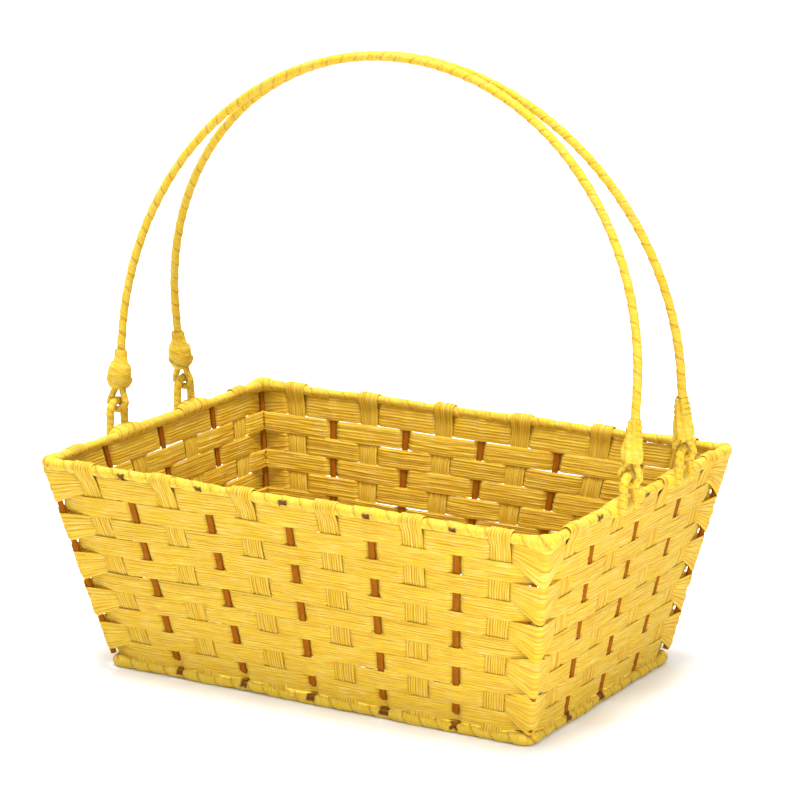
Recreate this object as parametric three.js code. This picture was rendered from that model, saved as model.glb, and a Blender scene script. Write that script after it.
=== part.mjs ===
// A woven paper easter basket on a steel wire frame, with two swinging handles.
// Lengths are in millimetres and angles in degrees. +X runs along the basket,
// -Y is its front and +Z is up. The origin is on the table, under its middle.
import * as THREE from 'three';

// The frame, measured between the centres of its wires
const RIM_LENGTH = 300;
const RIM_WIDTH = 209.6;
const BASE_LENGTH = 253.6;
const BASE_WIDTH = 155.2;
const WALL_HEIGHT = 113;
const FRAME_CORNER_RADIUS = 6;
const FRAME_WIRE_RADIUS = 1.6;

// The paper
const PAPER_THICKNESS = 0.8;
const STRIP_WIDTH = 11.6;
const WRAP_RADIUS = 3.15;
const WRAP_SLIT_ANGLE = 30;
const CLEARANCE = 0.3;

// The weave: strips and wires take turns along each wall, strips at odd steps
const LONG_WALL_STEPS = 12;
const END_WALL_STEPS = 8;
const ROW_COUNT = 10;
const ROW_GAP = 0.6;
const FLOOR_GAP = 1.33;

// The handles and the loops that hold them
const HANDLE_HEIGHT = 204.6;
const HANDLE_SPRING_HEIGHT = 44.6;
const FRONT_HINGE_Y = -30;
const BACK_HINGE_Y = 35;
const HANDLE_WIRE_RADIUS = 0.9;
const HANDLE_RADIUS = 2.4;
const EYE_RADIUS = 2;
const EYE_PLAY = 0.5;
const LOOP_RADIUS = 2;
const LOOP_ARCH_RADIUS = 6.5;
const HINGE_ABOVE_RIM = 10.5;
const LOOP_TAIL = 4;
const KNOT_LENGTH = 21.5;
const KNOT_WALL = 1.8;
const KNOT_END_WALL = 1.08;

// How finely round things are cut
const WIRE_SIDES = 6;
const LOOP_SIDES = 8;
const KNOT_SIDES = 10;
const HANDLE_SIDES = 7;
const HANDLE_WIRE_SIDES = 5;
const CORNER_TURNS = 3;
const WRAP_TURNS = 8;
const WRAP_BORE_TURNS = 5;
const EYE_TURNS = 5;
const ARCH_TURNS = 6;
const CROWN_POINTS = 11;
const STRIP_TURN_STEP = 35;
const STRIP_TURNS_OVER_RIM = 7;
const STRIP_TURNS_UNDER_BASE = 4;
const WIRE_TURN_STEP = 32.5;
const WIRE_TURNS = 2;

// Sizes that follow from the ones above
const STRIP_TURN_RADIUS = (WRAP_RADIUS + CLEARANCE + PAPER_THICKNESS / 2)
  / Math.cos(THREE.MathUtils.degToRad(STRIP_TURN_STEP / 2));
const STRIP_JOIN = STRIP_TURN_RADIUS * 3 / 2;
const BASE_Z = STRIP_TURN_RADIUS * Math.cos(THREE.MathUtils.degToRad(STRIP_TURN_STEP / 2))
  + PAPER_THICKNESS / 2;
const RIM_Z = BASE_Z + WALL_HEIGHT;
const HINGE_Z = RIM_Z + HINGE_ABOVE_RIM;
const HINGE_X = RIM_LENGTH / 2 + STRIP_TURN_RADIUS + PAPER_THICKNESS / 2 + CLEARANCE + LOOP_RADIUS;
const ROWS_BELOW_RIM = WRAP_RADIUS + CLEARANCE * 4;
const ROWS_ABOVE_BASE = STRIP_JOIN + CLEARANCE * 4;
const ROW_PITCH = (WALL_HEIGHT - ROWS_BELOW_RIM - ROWS_ABOVE_BASE) / ROW_COUNT;
const SHORTEST_STEP = Math.min(BASE_LENGTH / LONG_WALL_STEPS, BASE_WIDTH / END_WALL_STEPS);
const DEPTH_AT_STRIPS = (PAPER_THICKNESS + CLEARANCE) / (1 - STRIP_WIDTH / SHORTEST_STEP);
const DEPTH_AT_WIRES = (FRAME_WIRE_RADIUS + PAPER_THICKNESS / 2 + CLEARANCE)
  / (1 - 2 * FRAME_WIRE_RADIUS / SHORTEST_STEP);
const WEAVE_DEPTH = Math.max(DEPTH_AT_STRIPS, DEPTH_AT_WIRES) + CLEARANCE;
const FLOOR_Z = WEAVE_DEPTH + PAPER_THICKNESS / 2 + CLEARANCE;
const FLOOR_RISE = STRIP_TURN_RADIUS * 3;
const FOOT_END = 90 + STRIP_TURN_STEP / 2;
const RIM_TURN_START = 200;
const WIRE_TURN_RADIUS = (WRAP_RADIUS + CLEARANCE + FRAME_WIRE_RADIUS)
  / Math.cos(THREE.MathUtils.degToRad(WIRE_TURN_STEP / 2));
const WIRE_JOIN = WIRE_TURN_RADIUS * 7 / 5;
const FLOOR_STRIP_SPACING = 2 * BASE_WIDTH / END_WALL_STEPS;
const FLOOR_RIBBON_WIDTH = (FLOOR_STRIP_SPACING - STRIP_WIDTH - 3 * FLOOR_GAP) / 2;
const EYE_HALF_WIDTH = LOOP_RADIUS + EYE_RADIUS + EYE_PLAY;
const STRAND_OFFSET = EYE_RADIUS + CLEARANCE / 2;
const HANDLE_LEAN = THREE.MathUtils.radToDeg(Math.asin(
  ((BACK_HINGE_Y - FRONT_HINGE_Y - CLEARANCE) / 2 - HANDLE_RADIUS) / HANDLE_HEIGHT,
));

// Heights up a knot, above the hinge
const KNOT_BOTTOM = LOOP_ARCH_RADIUS + EYE_HALF_WIDTH + EYE_RADIUS;
const KNOT_SWELL = KNOT_LENGTH / 4;
const KNOT_STUB = KNOT_LENGTH * 2 / 5;
const KNOT_MIDDLE = KNOT_LENGTH / 2;
const KNOT_SHOULDER = KNOT_LENGTH * 5 / 9;
const KNOT_NECK = KNOT_LENGTH * 6 / 7;

const PAPER = { color: 0xf0c83c, roughness: 0.85, metalness: 0 };
const WRAPPED_PAPER = { color: 0xecc136, roughness: 0.8, metalness: 0 };
const FRAME_WIRE = { color: 0x8a4a10, roughness: 0.55, metalness: 0.4 };

const basket = new THREE.Group();
const frontHandle = handleGroup(FRONT_HINGE_Y, HANDLE_LEAN);
const backHandle = handleGroup(BACK_HINGE_Y, -HANDLE_LEAN);

function handleGroup(hingeY, lean) {
  const group = new THREE.Group();
  group.position.set(0, hingeY, HINGE_Z);
  group.rotation.x = THREE.MathUtils.degToRad(-lean);
  return group;
}

function addPiece(parent, name, geometry, finish) {
  const mesh = new THREE.Mesh(geometry, new THREE.MeshStandardMaterial(finish));
  mesh.name = name;
  parent.add(mesh);
  return mesh;
}

// A point at an angle and distance, where 0 degrees is +x and 90 is +y.
function polar(angle, radius) {
  const turn = THREE.MathUtils.degToRad(angle);
  return new THREE.Vector2(Math.cos(turn) * radius, Math.sin(turn) * radius);
}

function arc(startAngle, endAngle, radius, steps) {
  const points = [];
  for (let i = 0; i <= steps; i += 1) {
    points.push(polar(startAngle + (endAngle - startAngle) * i / steps, radius));
  }
  return points;
}

function ring(radius, sides) {
  return arc(0, 360, radius, sides).slice(0, sides);
}

function meshFrom(points, faces) {
  let volume = 0;
  for (const [a, b, c] of faces) {
    volume += points[a].dot(new THREE.Vector3().crossVectors(points[b], points[c]));
  }
  const outward = volume < 0 ? faces.map(([a, b, c]) => [a, c, b]) : faces;
  const geometry = new THREE.BufferGeometry().setFromPoints(points);
  geometry.setIndex(outward.flat());
  geometry.computeVertexNormals();
  return geometry;
}

function wallFaces(outlineCount, size, closed, offset = 0, stride = size) {
  const faces = [];
  const spans = closed ? outlineCount : outlineCount - 1;
  for (let i = 0; i < spans; i += 1) {
    const here = i * stride + offset;
    const next = ((i + 1) % outlineCount) * stride + offset;
    for (let j = 0; j < size; j += 1) {
      const k = (j + 1) % size;
      faces.push([here + j, next + j, next + k], [here + j, next + k, here + k]);
    }
  }
  return faces;
}

// Joins a run of matching outlines into one solid. An open run is capped with
// the flat shape that its outlines share.
function loft(outlines, flatShape = null) {
  const size = outlines[0].length;
  const faces = wallFaces(outlines.length, size, flatShape === null);
  if (flatShape) {
    const last = (outlines.length - 1) * size;
    const shapeTurns = Math.sign(THREE.ShapeUtils.area(flatShape));
    for (const corners of THREE.ShapeUtils.triangulateShape(flatShape, [])) {
      const turns = Math.sign(THREE.ShapeUtils.area(corners.map((corner) => flatShape[corner])));
      const [a, b, c] = turns === shapeTurns ? corners : [...corners].reverse();
      faces.push([a, b, c], [last + c, last + b, last + a]);
    }
  }
  return meshFrom(outlines.flat(), faces);
}

// A tube with an open bore: outer and inner outlines joined by rings at both ends.
function boredTube(outers, inners) {
  const size = outers[0].length;
  const stride = size * 2;
  const points = outers.flatMap((outer, i) => [...outer, ...inners[i]]);
  const faces = wallFaces(outers.length, size, false, 0, stride);
  for (const [a, b, c] of wallFaces(outers.length, size, false, size, stride)) {
    faces.push([a, c, b]);
  }
  const last = (outers.length - 1) * stride;
  for (let j = 0; j < size; j += 1) {
    const k = (j + 1) % size;
    faces.push([j, k, size + k], [j, size + k, size + j]);
    faces.push([last + j, last + size + k, last + k], [last + j, last + size + j, last + size + k]);
  }
  return meshFrom(points, faces);
}

// The unit normals of a flat path, lengthened at each bend to keep its thickness.
function mitredNormals(path) {
  return path.map((point, i) => {
    const before = path[Math.max(i - 1, 0)];
    const after = path[Math.min(i + 1, path.length - 1)];
    const arriving = i > 0 ? point.clone().sub(before) : after.clone().sub(point);
    const leaving = i < path.length - 1 ? after.clone().sub(point) : arriving.clone();
    const first = new THREE.Vector2(-arriving.y, arriving.x).normalize();
    const second = new THREE.Vector2(-leaving.y, leaving.x).normalize();
    const middle = first.clone().add(second).normalize();
    return middle.divideScalar(middle.dot(first));
  });
}

// A round or flat bar along a path that stays in one plane. place turns the
// path's flat point and a sideways distance into a point in space.
function bar(path, flatShape, place) {
  const normals = mitredNormals(path);
  const outlines = path.map((point, i) => flatShape.map((corner) => place(
    point.clone().addScaledVector(normals[i], corner.y),
    corner.x,
    i,
  )));
  return loft(outlines, flatShape);
}

// ---- Places on the walls ----

// A point on the middle of a wall: level runs from 0 at the base wire to 1 at the
// rim wire, and along from -1 to 1. out moves it level and square to the wall,
// and sideways moves it along the wall.
function wallPoint(wall, along, level, out = 0, sideways = 0) {
  const halfLength = THREE.MathUtils.lerp(BASE_LENGTH, RIM_LENGTH, level) / 2;
  const halfWidth = THREE.MathUtils.lerp(BASE_WIDTH, RIM_WIDTH, level) / 2;
  const z = BASE_Z + WALL_HEIGHT * level;
  const alongLength = along * halfLength + sideways;
  const alongWidth = along * halfWidth + sideways;
  if (wall === 'front') return new THREE.Vector3(alongLength, -halfWidth - out, z);
  if (wall === 'right') return new THREE.Vector3(halfLength + out, alongWidth, z);
  if (wall === 'back') return new THREE.Vector3(-alongLength, halfWidth + out, z);
  return new THREE.Vector3(-halfLength - out, -alongWidth, z);
}

const WALLS = [
  { wall: 'front', steps: LONG_WALL_STEPS, flip: 1 },
  { wall: 'right', steps: END_WALL_STEPS, flip: 1 },
  { wall: 'back', steps: LONG_WALL_STEPS, flip: -1 },
  { wall: 'left', steps: END_WALL_STEPS, flip: 1 },
];

function stepPlace(step, steps) {
  return 2 * step / steps - 1;
}

// ---- Rim and base ----

function roundedRectangle(length, width, z) {
  const stations = [];
  for (const [sideX, sideY, startAngle] of [[1, 1, 0], [-1, 1, 90], [-1, -1, 180], [1, -1, 270]]) {
    const centreX = sideX * (length / 2 - FRAME_CORNER_RADIUS);
    const centreY = sideY * (width / 2 - FRAME_CORNER_RADIUS);
    for (const point of arc(startAngle, startAngle + 90, FRAME_CORNER_RADIUS, CORNER_TURNS)) {
      const outward = new THREE.Vector3(point.x, point.y, 0).normalize();
      stations.push({ at: new THREE.Vector3(centreX + point.x, centreY + point.y, z), outward });
    }
  }
  return stations;
}

function ringBar(length, width, z, flatShape) {
  const outlines = roundedRectangle(length, width, z).map(({ at, outward }) => flatShape.map(
    (corner) => at.clone().addScaledVector(outward, corner.x).setZ(z + corner.y),
  ));
  return loft(outlines);
}

// The paper wound on a frame wire, with the seam where the winding laps left open.
function wrapShape(seamAngle) {
  const start = seamAngle + WRAP_SLIT_ANGLE / 2;
  const end = seamAngle + 360 - WRAP_SLIT_ANGLE / 2;
  const flatness = Math.cos(THREE.MathUtils.degToRad((end - start) / WRAP_BORE_TURNS / 2));
  const bore = (FRAME_WIRE_RADIUS + CLEARANCE) / flatness;
  return [...arc(start, end, WRAP_RADIUS, WRAP_TURNS), ...arc(end, start, bore, WRAP_BORE_TURNS)];
}

function addRimAndBase() {
  const wire = ring(FRAME_WIRE_RADIUS, WIRE_SIDES);
  const inwardSeam = wrapShape(180);
  addPiece(basket, 'rim_wire', ringBar(RIM_LENGTH, RIM_WIDTH, RIM_Z, wire), FRAME_WIRE);
  addPiece(basket, 'rim_wrap', ringBar(RIM_LENGTH, RIM_WIDTH, RIM_Z, inwardSeam), WRAPPED_PAPER);
  addPiece(basket, 'base_wire', ringBar(BASE_LENGTH, BASE_WIDTH, BASE_Z, wire), FRAME_WIRE);
  addPiece(basket, 'base_wrap', ringBar(BASE_LENGTH, BASE_WIDTH, BASE_Z, inwardSeam), WRAPPED_PAPER);
}

// ---- Weavers: ten closed ribbons, in and out of the wall's strips and wires ----

function weaverStation(lower, upper, half) {
  return [lower(-half), upper(-half), upper(half), lower(half)];
}

function weaverRow(row) {
  const top = 1 - (ROWS_BELOW_RIM + row * ROW_PITCH) / WALL_HEIGHT;
  const bottom = top - (ROW_PITCH - ROW_GAP) / WALL_HEIGHT;
  const half = PAPER_THICKNESS / 2;
  const rowSide = row % 2 === 0 ? 1 : -1;
  const outlines = [];
  WALLS.forEach(({ wall, steps, flip }) => {
    outlines.push(cornerStation(wall, bottom, top, rowSide * WEAVE_DEPTH, half));
    for (let step = 1; step < steps; step += 1) {
      const along = stepPlace(step, steps);
      const isStrip = step % 2 === 1;
      const depth = rowSide * flip * (isStrip ? -WEAVE_DEPTH : WEAVE_DEPTH);
      for (const sideways of isStrip ? [-STRIP_WIDTH / 2, STRIP_WIDTH / 2] : [0]) {
        const lower = (shift) => wallPoint(wall, along, bottom, depth + shift, sideways);
        const upper = (shift) => wallPoint(wall, along, top, depth + shift, sideways);
        outlines.push(weaverStation(lower, upper, half));
      }
    }
  });
  return loft(outlines);
}

// Where a weaver turns round the corner post before the given wall.
function cornerStation(wall, bottom, top, depth, half) {
  const corner = (level, out) => {
    const point = wallPoint(wall, -1, level);
    return point.add(new THREE.Vector3(Math.sign(point.x) * out, Math.sign(point.y) * out, 0));
  };
  return weaverStation(
    (shift) => corner(bottom, depth + shift),
    (shift) => corner(top, depth + shift),
    half,
  );
}

function addWeavers() {
  for (let row = 0; row < ROW_COUNT; row += 1) {
    const name = `weaver_row_${String(row + 1).padStart(2, '0')}`;
    addPiece(basket, name, weaverRow(row), PAPER);
  }
}

// ---- Strips and wires that run down one wall, across the base and up the other ----

// One side of such a piece, in the plane across the basket: x is the distance
// from the basket's middle and y the height. It runs from the rim to the base.
function wallLine(rimHalf, baseHalf) {
  const rim = new THREE.Vector2(rimHalf, RIM_Z);
  const base = new THREE.Vector2(baseHalf, BASE_Z);
  const down = base.clone().sub(rim).normalize();
  return { rim, base, down };
}

function stripSide(rimHalf, baseHalf, rimSide) {
  const { rim, base, down } = wallLine(rimHalf, baseHalf);
  const rimTurn = STRIP_TURNS_OVER_RIM * STRIP_TURN_STEP;
  const baseTurn = STRIP_TURNS_UNDER_BASE * STRIP_TURN_STEP;
  const overRim = arc(RIM_TURN_START, RIM_TURN_START - rimTurn, STRIP_TURN_RADIUS, STRIP_TURNS_OVER_RIM);
  const underBase = arc(baseTurn - FOOT_END, -FOOT_END, STRIP_TURN_RADIUS, STRIP_TURNS_UNDER_BASE);
  return [
    ...overRim.map((turn) => new THREE.Vector2(turn.x * rimSide, turn.y).add(rim)),
    rim.clone().addScaledVector(down, STRIP_JOIN),
    base.clone().addScaledVector(down, -STRIP_JOIN),
    ...underBase.map((turn) => turn.add(base)),
  ];
}

function wireSide(rimHalf, baseHalf) {
  const { rim, base, down } = wallLine(rimHalf, baseHalf);
  const lastAngle = 180 + THREE.MathUtils.radToDeg(Math.asin((BASE_Z - FLOOR_Z) / WIRE_TURN_RADIUS));
  const firstAngle = lastAngle - WIRE_TURNS * WIRE_TURN_STEP;
  const pastBase = arc(firstAngle, lastAngle, WIRE_TURN_RADIUS, WIRE_TURNS);
  return [
    rim.clone().addScaledVector(down, WRAP_RADIUS + CLEARANCE),
    base.clone().addScaledVector(down, -WIRE_JOIN),
    ...pastBase.map((turn) => turn.add(base)),
  ];
}

function mirrored(side) {
  return side.map((point) => new THREE.Vector2(-point.x, point.y));
}

// Carries a flat path to its place on the walls. Every point keeps its share of
// the wall's length, so the pieces draw together towards the base.
function acrossBasket(along, rimHalf, baseHalf, isFrontToBack) {
  return (point, sideways) => {
    const level = THREE.MathUtils.clamp((point.y - BASE_Z) / WALL_HEIGHT, 0, 1);
    const share = along * THREE.MathUtils.lerp(baseHalf, rimHalf, level) + sideways;
    if (isFrontToBack) return new THREE.Vector3(share, point.x, point.y);
    return new THREE.Vector3(point.x, share, point.y);
  };
}

function flatStrip(width) {
  const half = PAPER_THICKNESS / 2;
  const side = width / 2;
  const corners = [[-side, -half], [side, -half], [side, half], [-side, half]];
  return corners.map(([x, y]) => new THREE.Vector2(x, y));
}

function addFrontToBackPieces() {
  const strip = flatStrip(STRIP_WIDTH);
  const wire = ring(FRAME_WIRE_RADIUS, WIRE_SIDES);
  for (let step = 1; step < LONG_WALL_STEPS; step += 1) {
    const along = stepPlace(step, LONG_WALL_STEPS);
    const place = acrossBasket(along, RIM_LENGTH / 2, BASE_LENGTH / 2, true);
    const number = Math.ceil(step / 2);
    if (step % 2 === 1) {
      const front = mirrored(stripSide(RIM_WIDTH / 2, BASE_WIDTH / 2, 1));
      const back = stripSide(RIM_WIDTH / 2, BASE_WIDTH / 2, -1);
      const floorHalf = BASE_WIDTH / 2 - FLOOR_RISE;
      const floor = [new THREE.Vector2(-floorHalf, FLOOR_Z), new THREE.Vector2(floorHalf, FLOOR_Z)];
      const path = [...front, ...floor, ...back.reverse()];
      addPiece(basket, `long_strip_${number}`, bar(path, strip, place), PAPER);
    } else {
      const side = wireSide(RIM_WIDTH / 2, BASE_WIDTH / 2);
      const path = [...mirrored(side), ...side.reverse()];
      addPiece(basket, `long_wire_${number}`, bar(path, wire, place), FRAME_WIRE);
    }
  }
}

// The weave of the base, from left to right: side is 1 for a ribbon that passes
// over the strips and under the wires, and -1 for one that does the opposite.
function floorWeave(side) {
  const points = [];
  for (let step = 1; step < LONG_WALL_STEPS; step += 1) {
    const depth = step % 2 === 1 ? side * WEAVE_DEPTH : -side * WEAVE_DEPTH;
    const x = stepPlace(step, LONG_WALL_STEPS) * BASE_LENGTH / 2;
    points.push(new THREE.Vector2(x, FLOOR_Z + depth));
  }
  return points;
}

function addEndToEndStrips() {
  for (let step = 1; step < END_WALL_STEPS; step += 2) {
    const along = stepPlace(step, END_WALL_STEPS);
    const place = acrossBasket(along, RIM_WIDTH / 2, BASE_WIDTH / 2, false);
    const left = mirrored(stripSide(RIM_LENGTH / 2, BASE_LENGTH / 2, 1));
    const right = stripSide(RIM_LENGTH / 2, BASE_LENGTH / 2, 1).reverse();
    const path = [...left, ...floorWeave(-1), ...right];
    addPiece(basket, `end_strip_${(step + 1) / 2}`, bar(path, flatStrip(STRIP_WIDTH), place), PAPER);
  }
}

// Two ribbons lie side by side between each pair of neighbouring end strips.
function addBaseRibbons() {
  const reach = BASE_LENGTH / 2 - WRAP_RADIUS - CLEARANCE;
  const ends = [new THREE.Vector2(-reach, FLOOR_Z), new THREE.Vector2(reach, FLOOR_Z)];
  const path = [ends[0], ...floorWeave(1), ends[1]];
  const place = (point, sideways) => new THREE.Vector3(point.x, sideways, point.y);
  const offset = (FLOOR_RIBBON_WIDTH + FLOOR_GAP) / 2;
  let number = 1;
  for (let step = 2; step < END_WALL_STEPS; step += 2) {
    const middle = stepPlace(step, END_WALL_STEPS) * BASE_WIDTH / 2;
    for (const y of [middle - offset, middle + offset]) {
      const geometry = bar(path, flatStrip(FLOOR_RIBBON_WIDTH), place);
      addPiece(basket, `base_ribbon_${number}`, geometry, PAPER).position.y = y;
      number += 1;
    }
  }
}

// ---- Straight wires: the corner posts and the uprights of the end walls ----

// Each end stops short of the winding by enough for its tilted rim to clear it.
function straightWire(top, bottom) {
  const slant = Math.acos((top.z - bottom.z) / top.distanceTo(bottom));
  const rise = WRAP_RADIUS + CLEARANCE + FRAME_WIRE_RADIUS * Math.sin(slant);
  const gap = rise / Math.cos(slant);
  const length = top.distanceTo(bottom) - 2 * gap;
  const geometry = new THREE.CylinderGeometry(FRAME_WIRE_RADIUS, FRAME_WIRE_RADIUS, length, LOOP_SIDES);
  const up = top.clone().sub(bottom).normalize();
  return { geometry, up, middle: top.clone().add(bottom).multiplyScalar(0.5) };
}

function addStraightWire(name, wall, along) {
  const { geometry, up, middle } = straightWire(wallPoint(wall, along, 1), wallPoint(wall, along, 0));
  const mesh = addPiece(basket, name, geometry, FRAME_WIRE);
  mesh.quaternion.setFromUnitVectors(new THREE.Vector3(0, 1, 0), up);
  mesh.position.copy(middle);
}

function addPostsAndEndWires() {
  addStraightWire('corner_post_front_left', 'front', -1);
  addStraightWire('corner_post_front_right', 'right', -1);
  addStraightWire('corner_post_back_right', 'back', -1);
  addStraightWire('corner_post_back_left', 'left', -1);
  for (const wall of ['right', 'left']) {
    for (let step = 2; step < END_WALL_STEPS; step += 2) {
      addStraightWire(`${wall}_wire_${step / 2}`, wall, stepPlace(step, END_WALL_STEPS));
    }
  }
}

// ---- Loops on the rim that the handles hang from ----

function loopGeometry() {
  const tail = -HINGE_ABOVE_RIM - LOOP_TAIL;
  const path = [
    new THREE.Vector2(-LOOP_ARCH_RADIUS, tail),
    ...arc(180, 0, LOOP_ARCH_RADIUS, ARCH_TURNS),
    new THREE.Vector2(LOOP_ARCH_RADIUS, tail),
  ];
  const place = (point, sideways) => new THREE.Vector3(sideways, point.x, point.y);
  return bar(path, ring(LOOP_RADIUS, LOOP_SIDES), place);
}

function addLoops() {
  for (const [end, x] of [['left', -HINGE_X], ['right', HINGE_X]]) {
    for (const [side, y] of [['front', FRONT_HINGE_Y], ['back', BACK_HINGE_Y]]) {
      const loop = addPiece(basket, `${side}_${end}_loop`, loopGeometry(), WRAPPED_PAPER);
      loop.position.set(x, y, HINGE_Z);
    }
  }
}

// ---- Handles: a wire hoop with an eye at each end, wound with paper ----

// The right half of the hoop in its own plane, from its top to the end of the
// wire that is tucked up into the knot. The eye encloses the rim loop's arch.
function halfHoop(stub) {
  const springing = HANDLE_HEIGHT - HANDLE_SPRING_HEIGHT;
  const crown = [];
  for (let i = 1; i <= CROWN_POINTS; i += 1) {
    const turn = Math.PI / 2 * (1 - i / CROWN_POINTS);
    crown.push([HINGE_X * Math.cos(turn), HANDLE_SPRING_HEIGHT + springing * Math.sin(turn)]);
  }
  const eye = arc(180, 360, EYE_HALF_WIDTH, EYE_TURNS);
  return [
    ...crown,
    [HINGE_X, KNOT_BOTTOM + KNOT_NECK],
    [HINGE_X - STRAND_OFFSET, KNOT_BOTTOM + KNOT_MIDDLE],
    [HINGE_X - STRAND_OFFSET, KNOT_BOTTOM],
    ...eye.map((point) => [HINGE_X + point.x, LOOP_ARCH_RADIUS + point.y]),
    [HINGE_X + STRAND_OFFSET, KNOT_BOTTOM],
    [HINGE_X + STRAND_OFFSET, KNOT_BOTTOM + stub],
  ].map(([x, z]) => new THREE.Vector2(x, z));
}

function hoopPath(stub) {
  const right = halfHoop(stub);
  const top = new THREE.Vector2(0, HANDLE_HEIGHT);
  return [...mirrored(right).reverse(), top, ...right];
}

function hoopWrap() {
  const path = hoopPath(KNOT_STUB);
  const normals = mitredNormals(path);
  const around = (radius) => path.map((point, i) => ring(1, HANDLE_SIDES).map((corner) => {
    const reach = radius(point) * corner.y;
    const centre = point.clone().addScaledVector(normals[i], reach);
    return new THREE.Vector3(centre.x, radius(point) * corner.x, centre.y);
  }));
  const topOfEye = KNOT_BOTTOM + KNOT_MIDDLE + CLEARANCE;
  const outer = (point) => (point.y > topOfEye ? HANDLE_RADIUS : EYE_RADIUS);
  return boredTube(around(outer), around(() => HANDLE_WIRE_RADIUS + CLEARANCE));
}

function hoopWire() {
  const place = (point, sideways) => new THREE.Vector3(point.x, sideways, point.y);
  return bar(hoopPath(KNOT_STUB + HANDLE_WIRE_RADIUS), ring(HANDLE_WIRE_RADIUS, HANDLE_WIRE_SIDES), place);
}

// The winding that binds the end of the wire, bored for the strands inside it.
function knotGeometry() {
  const flatness = Math.cos(Math.PI / KNOT_SIDES);
  const wideBore = (STRAND_OFFSET + EYE_RADIUS + CLEARANCE) / flatness;
  const topBore = (HANDLE_RADIUS + CLEARANCE) / flatness;
  const profile = [
    [wideBore, 0],
    [wideBore + KNOT_END_WALL, 0],
    [wideBore + KNOT_WALL, KNOT_SWELL],
    [wideBore + KNOT_WALL, KNOT_SHOULDER],
    [topBore + KNOT_WALL, KNOT_NECK],
    [topBore + KNOT_END_WALL, KNOT_LENGTH],
    [topBore, KNOT_LENGTH],
    [topBore, KNOT_NECK + CLEARANCE],
    [wideBore, KNOT_MIDDLE + CLEARANCE],
    [wideBore, 0],
  ];
  return new THREE.LatheGeometry(profile.map(([x, y]) => new THREE.Vector2(x, y)), KNOT_SIDES);
}

function addHandle(group, side) {
  addPiece(group, `${side}_handle_wire`, hoopWire(), FRAME_WIRE);
  addPiece(group, `${side}_handle_wrap`, hoopWrap(), WRAPPED_PAPER);
  for (const [end, x] of [['left', -HINGE_X], ['right', HINGE_X]]) {
    const knot = addPiece(group, `${side}_${end}_knot`, knotGeometry(), WRAPPED_PAPER);
    knot.position.set(x, 0, KNOT_BOTTOM);
    knot.rotation.x = Math.PI / 2;
  }
}

addRimAndBase();
addWeavers();
addFrontToBackPieces();
addEndToEndStrips();
addBaseRibbons();
addPostsAndEndWires();
addLoops();
addHandle(frontHandle, 'front');
addHandle(backHandle, 'back');

const model = new THREE.Group();
model.add(basket, frontHandle, backHandle);

export default model;
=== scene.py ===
"""Dresses a woven paper easter basket in its paper, wire and winding.

The wire frame, the woven walls, the base, the four rim loops and the two
handles are each made by their own operator, on the places that the frame's
parts give. Lengths are in metres. +X runs along the basket and -Y is its front.
"""

import math

import bpy
import numpy as np
from mathutils import Matrix, Vector


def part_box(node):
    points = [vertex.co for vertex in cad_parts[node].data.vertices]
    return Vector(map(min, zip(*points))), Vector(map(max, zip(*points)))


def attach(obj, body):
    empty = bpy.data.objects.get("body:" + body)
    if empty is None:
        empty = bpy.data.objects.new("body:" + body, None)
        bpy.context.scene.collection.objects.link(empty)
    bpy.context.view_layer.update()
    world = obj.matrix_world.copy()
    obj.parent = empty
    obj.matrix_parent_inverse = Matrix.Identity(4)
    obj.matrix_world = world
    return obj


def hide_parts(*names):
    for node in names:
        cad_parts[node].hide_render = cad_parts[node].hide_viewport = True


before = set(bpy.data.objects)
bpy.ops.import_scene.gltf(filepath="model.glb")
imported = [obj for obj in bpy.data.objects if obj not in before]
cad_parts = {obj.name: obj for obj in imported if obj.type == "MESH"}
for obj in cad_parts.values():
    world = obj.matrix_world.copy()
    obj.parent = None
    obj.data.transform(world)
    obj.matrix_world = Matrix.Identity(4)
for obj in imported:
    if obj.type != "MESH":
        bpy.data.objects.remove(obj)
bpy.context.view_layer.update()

bl_info = {
    "name": "Easter Basket",
    "version": (1, 0, 0),
    "blender": (4, 5, 0),
    "location": "View3D > Sidebar > Easter Basket",
    "description": "Woven paper easter basket on a wire frame with two swinging handles",
    "category": "Add Mesh",
}

MM = 0.001
ROW_COUNT = 10
LONG_STEPS = 12
END_STEPS = 8
BASE_RIBBONS = 6
PLEATS = 8
WALLS = (
    # run, outward, steps along it, side that the strips take
    ((1, 0), (0, -1), LONG_STEPS, 1),
    ((0, 1), (1, 0), END_STEPS, 1),
    ((-1, 0), (0, 1), LONG_STEPS, -1),
    ((0, -1), (-1, 0), END_STEPS, 1),
)
# How much wider an outer weaver gets at each corner, from the front right one round.
CORNER_FANS = (0.95, 0.9, 0.55, 0.5)
CORNER_PLACES = (("front_left", -1, -1), ("front_right", 1, -1), ("back_right", 1, 1), ("back_left", -1, 1))
CROSSINGS = {
    # how far a weaver lies over a strip or a wire, how deep, and how far with its slopes, in mm:
    # on the side that its row fills, and on the other side
    ("strip", True): (5.0, 0.95, 5.6),
    ("wire", True): (0.9, 1.45, 4.2),
    ("strip", False): (5.4, 0.95, 7.8),
    ("wire", False): (1.7, 1.45, 4.4),
}
HANDLES = {"front": "front_handle", "back": "back_handle"}
ARCH = 6.5 * MM
EYE = 5.2 * MM
WIDE_PRESS, THIN_PRESS = 1.2, 0.62
PAPER_GRAINS = {
    # length and width of a streak, depth of a crease
    "weaver_paper": (26 * MM, 1.0 * MM, 0.45 * MM),
    "strip_paper": (22 * MM, 0.8 * MM, 0.4 * MM),
    "winding_paper": (10 * MM, 1.0 * MM, 0.7 * MM),
}
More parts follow.
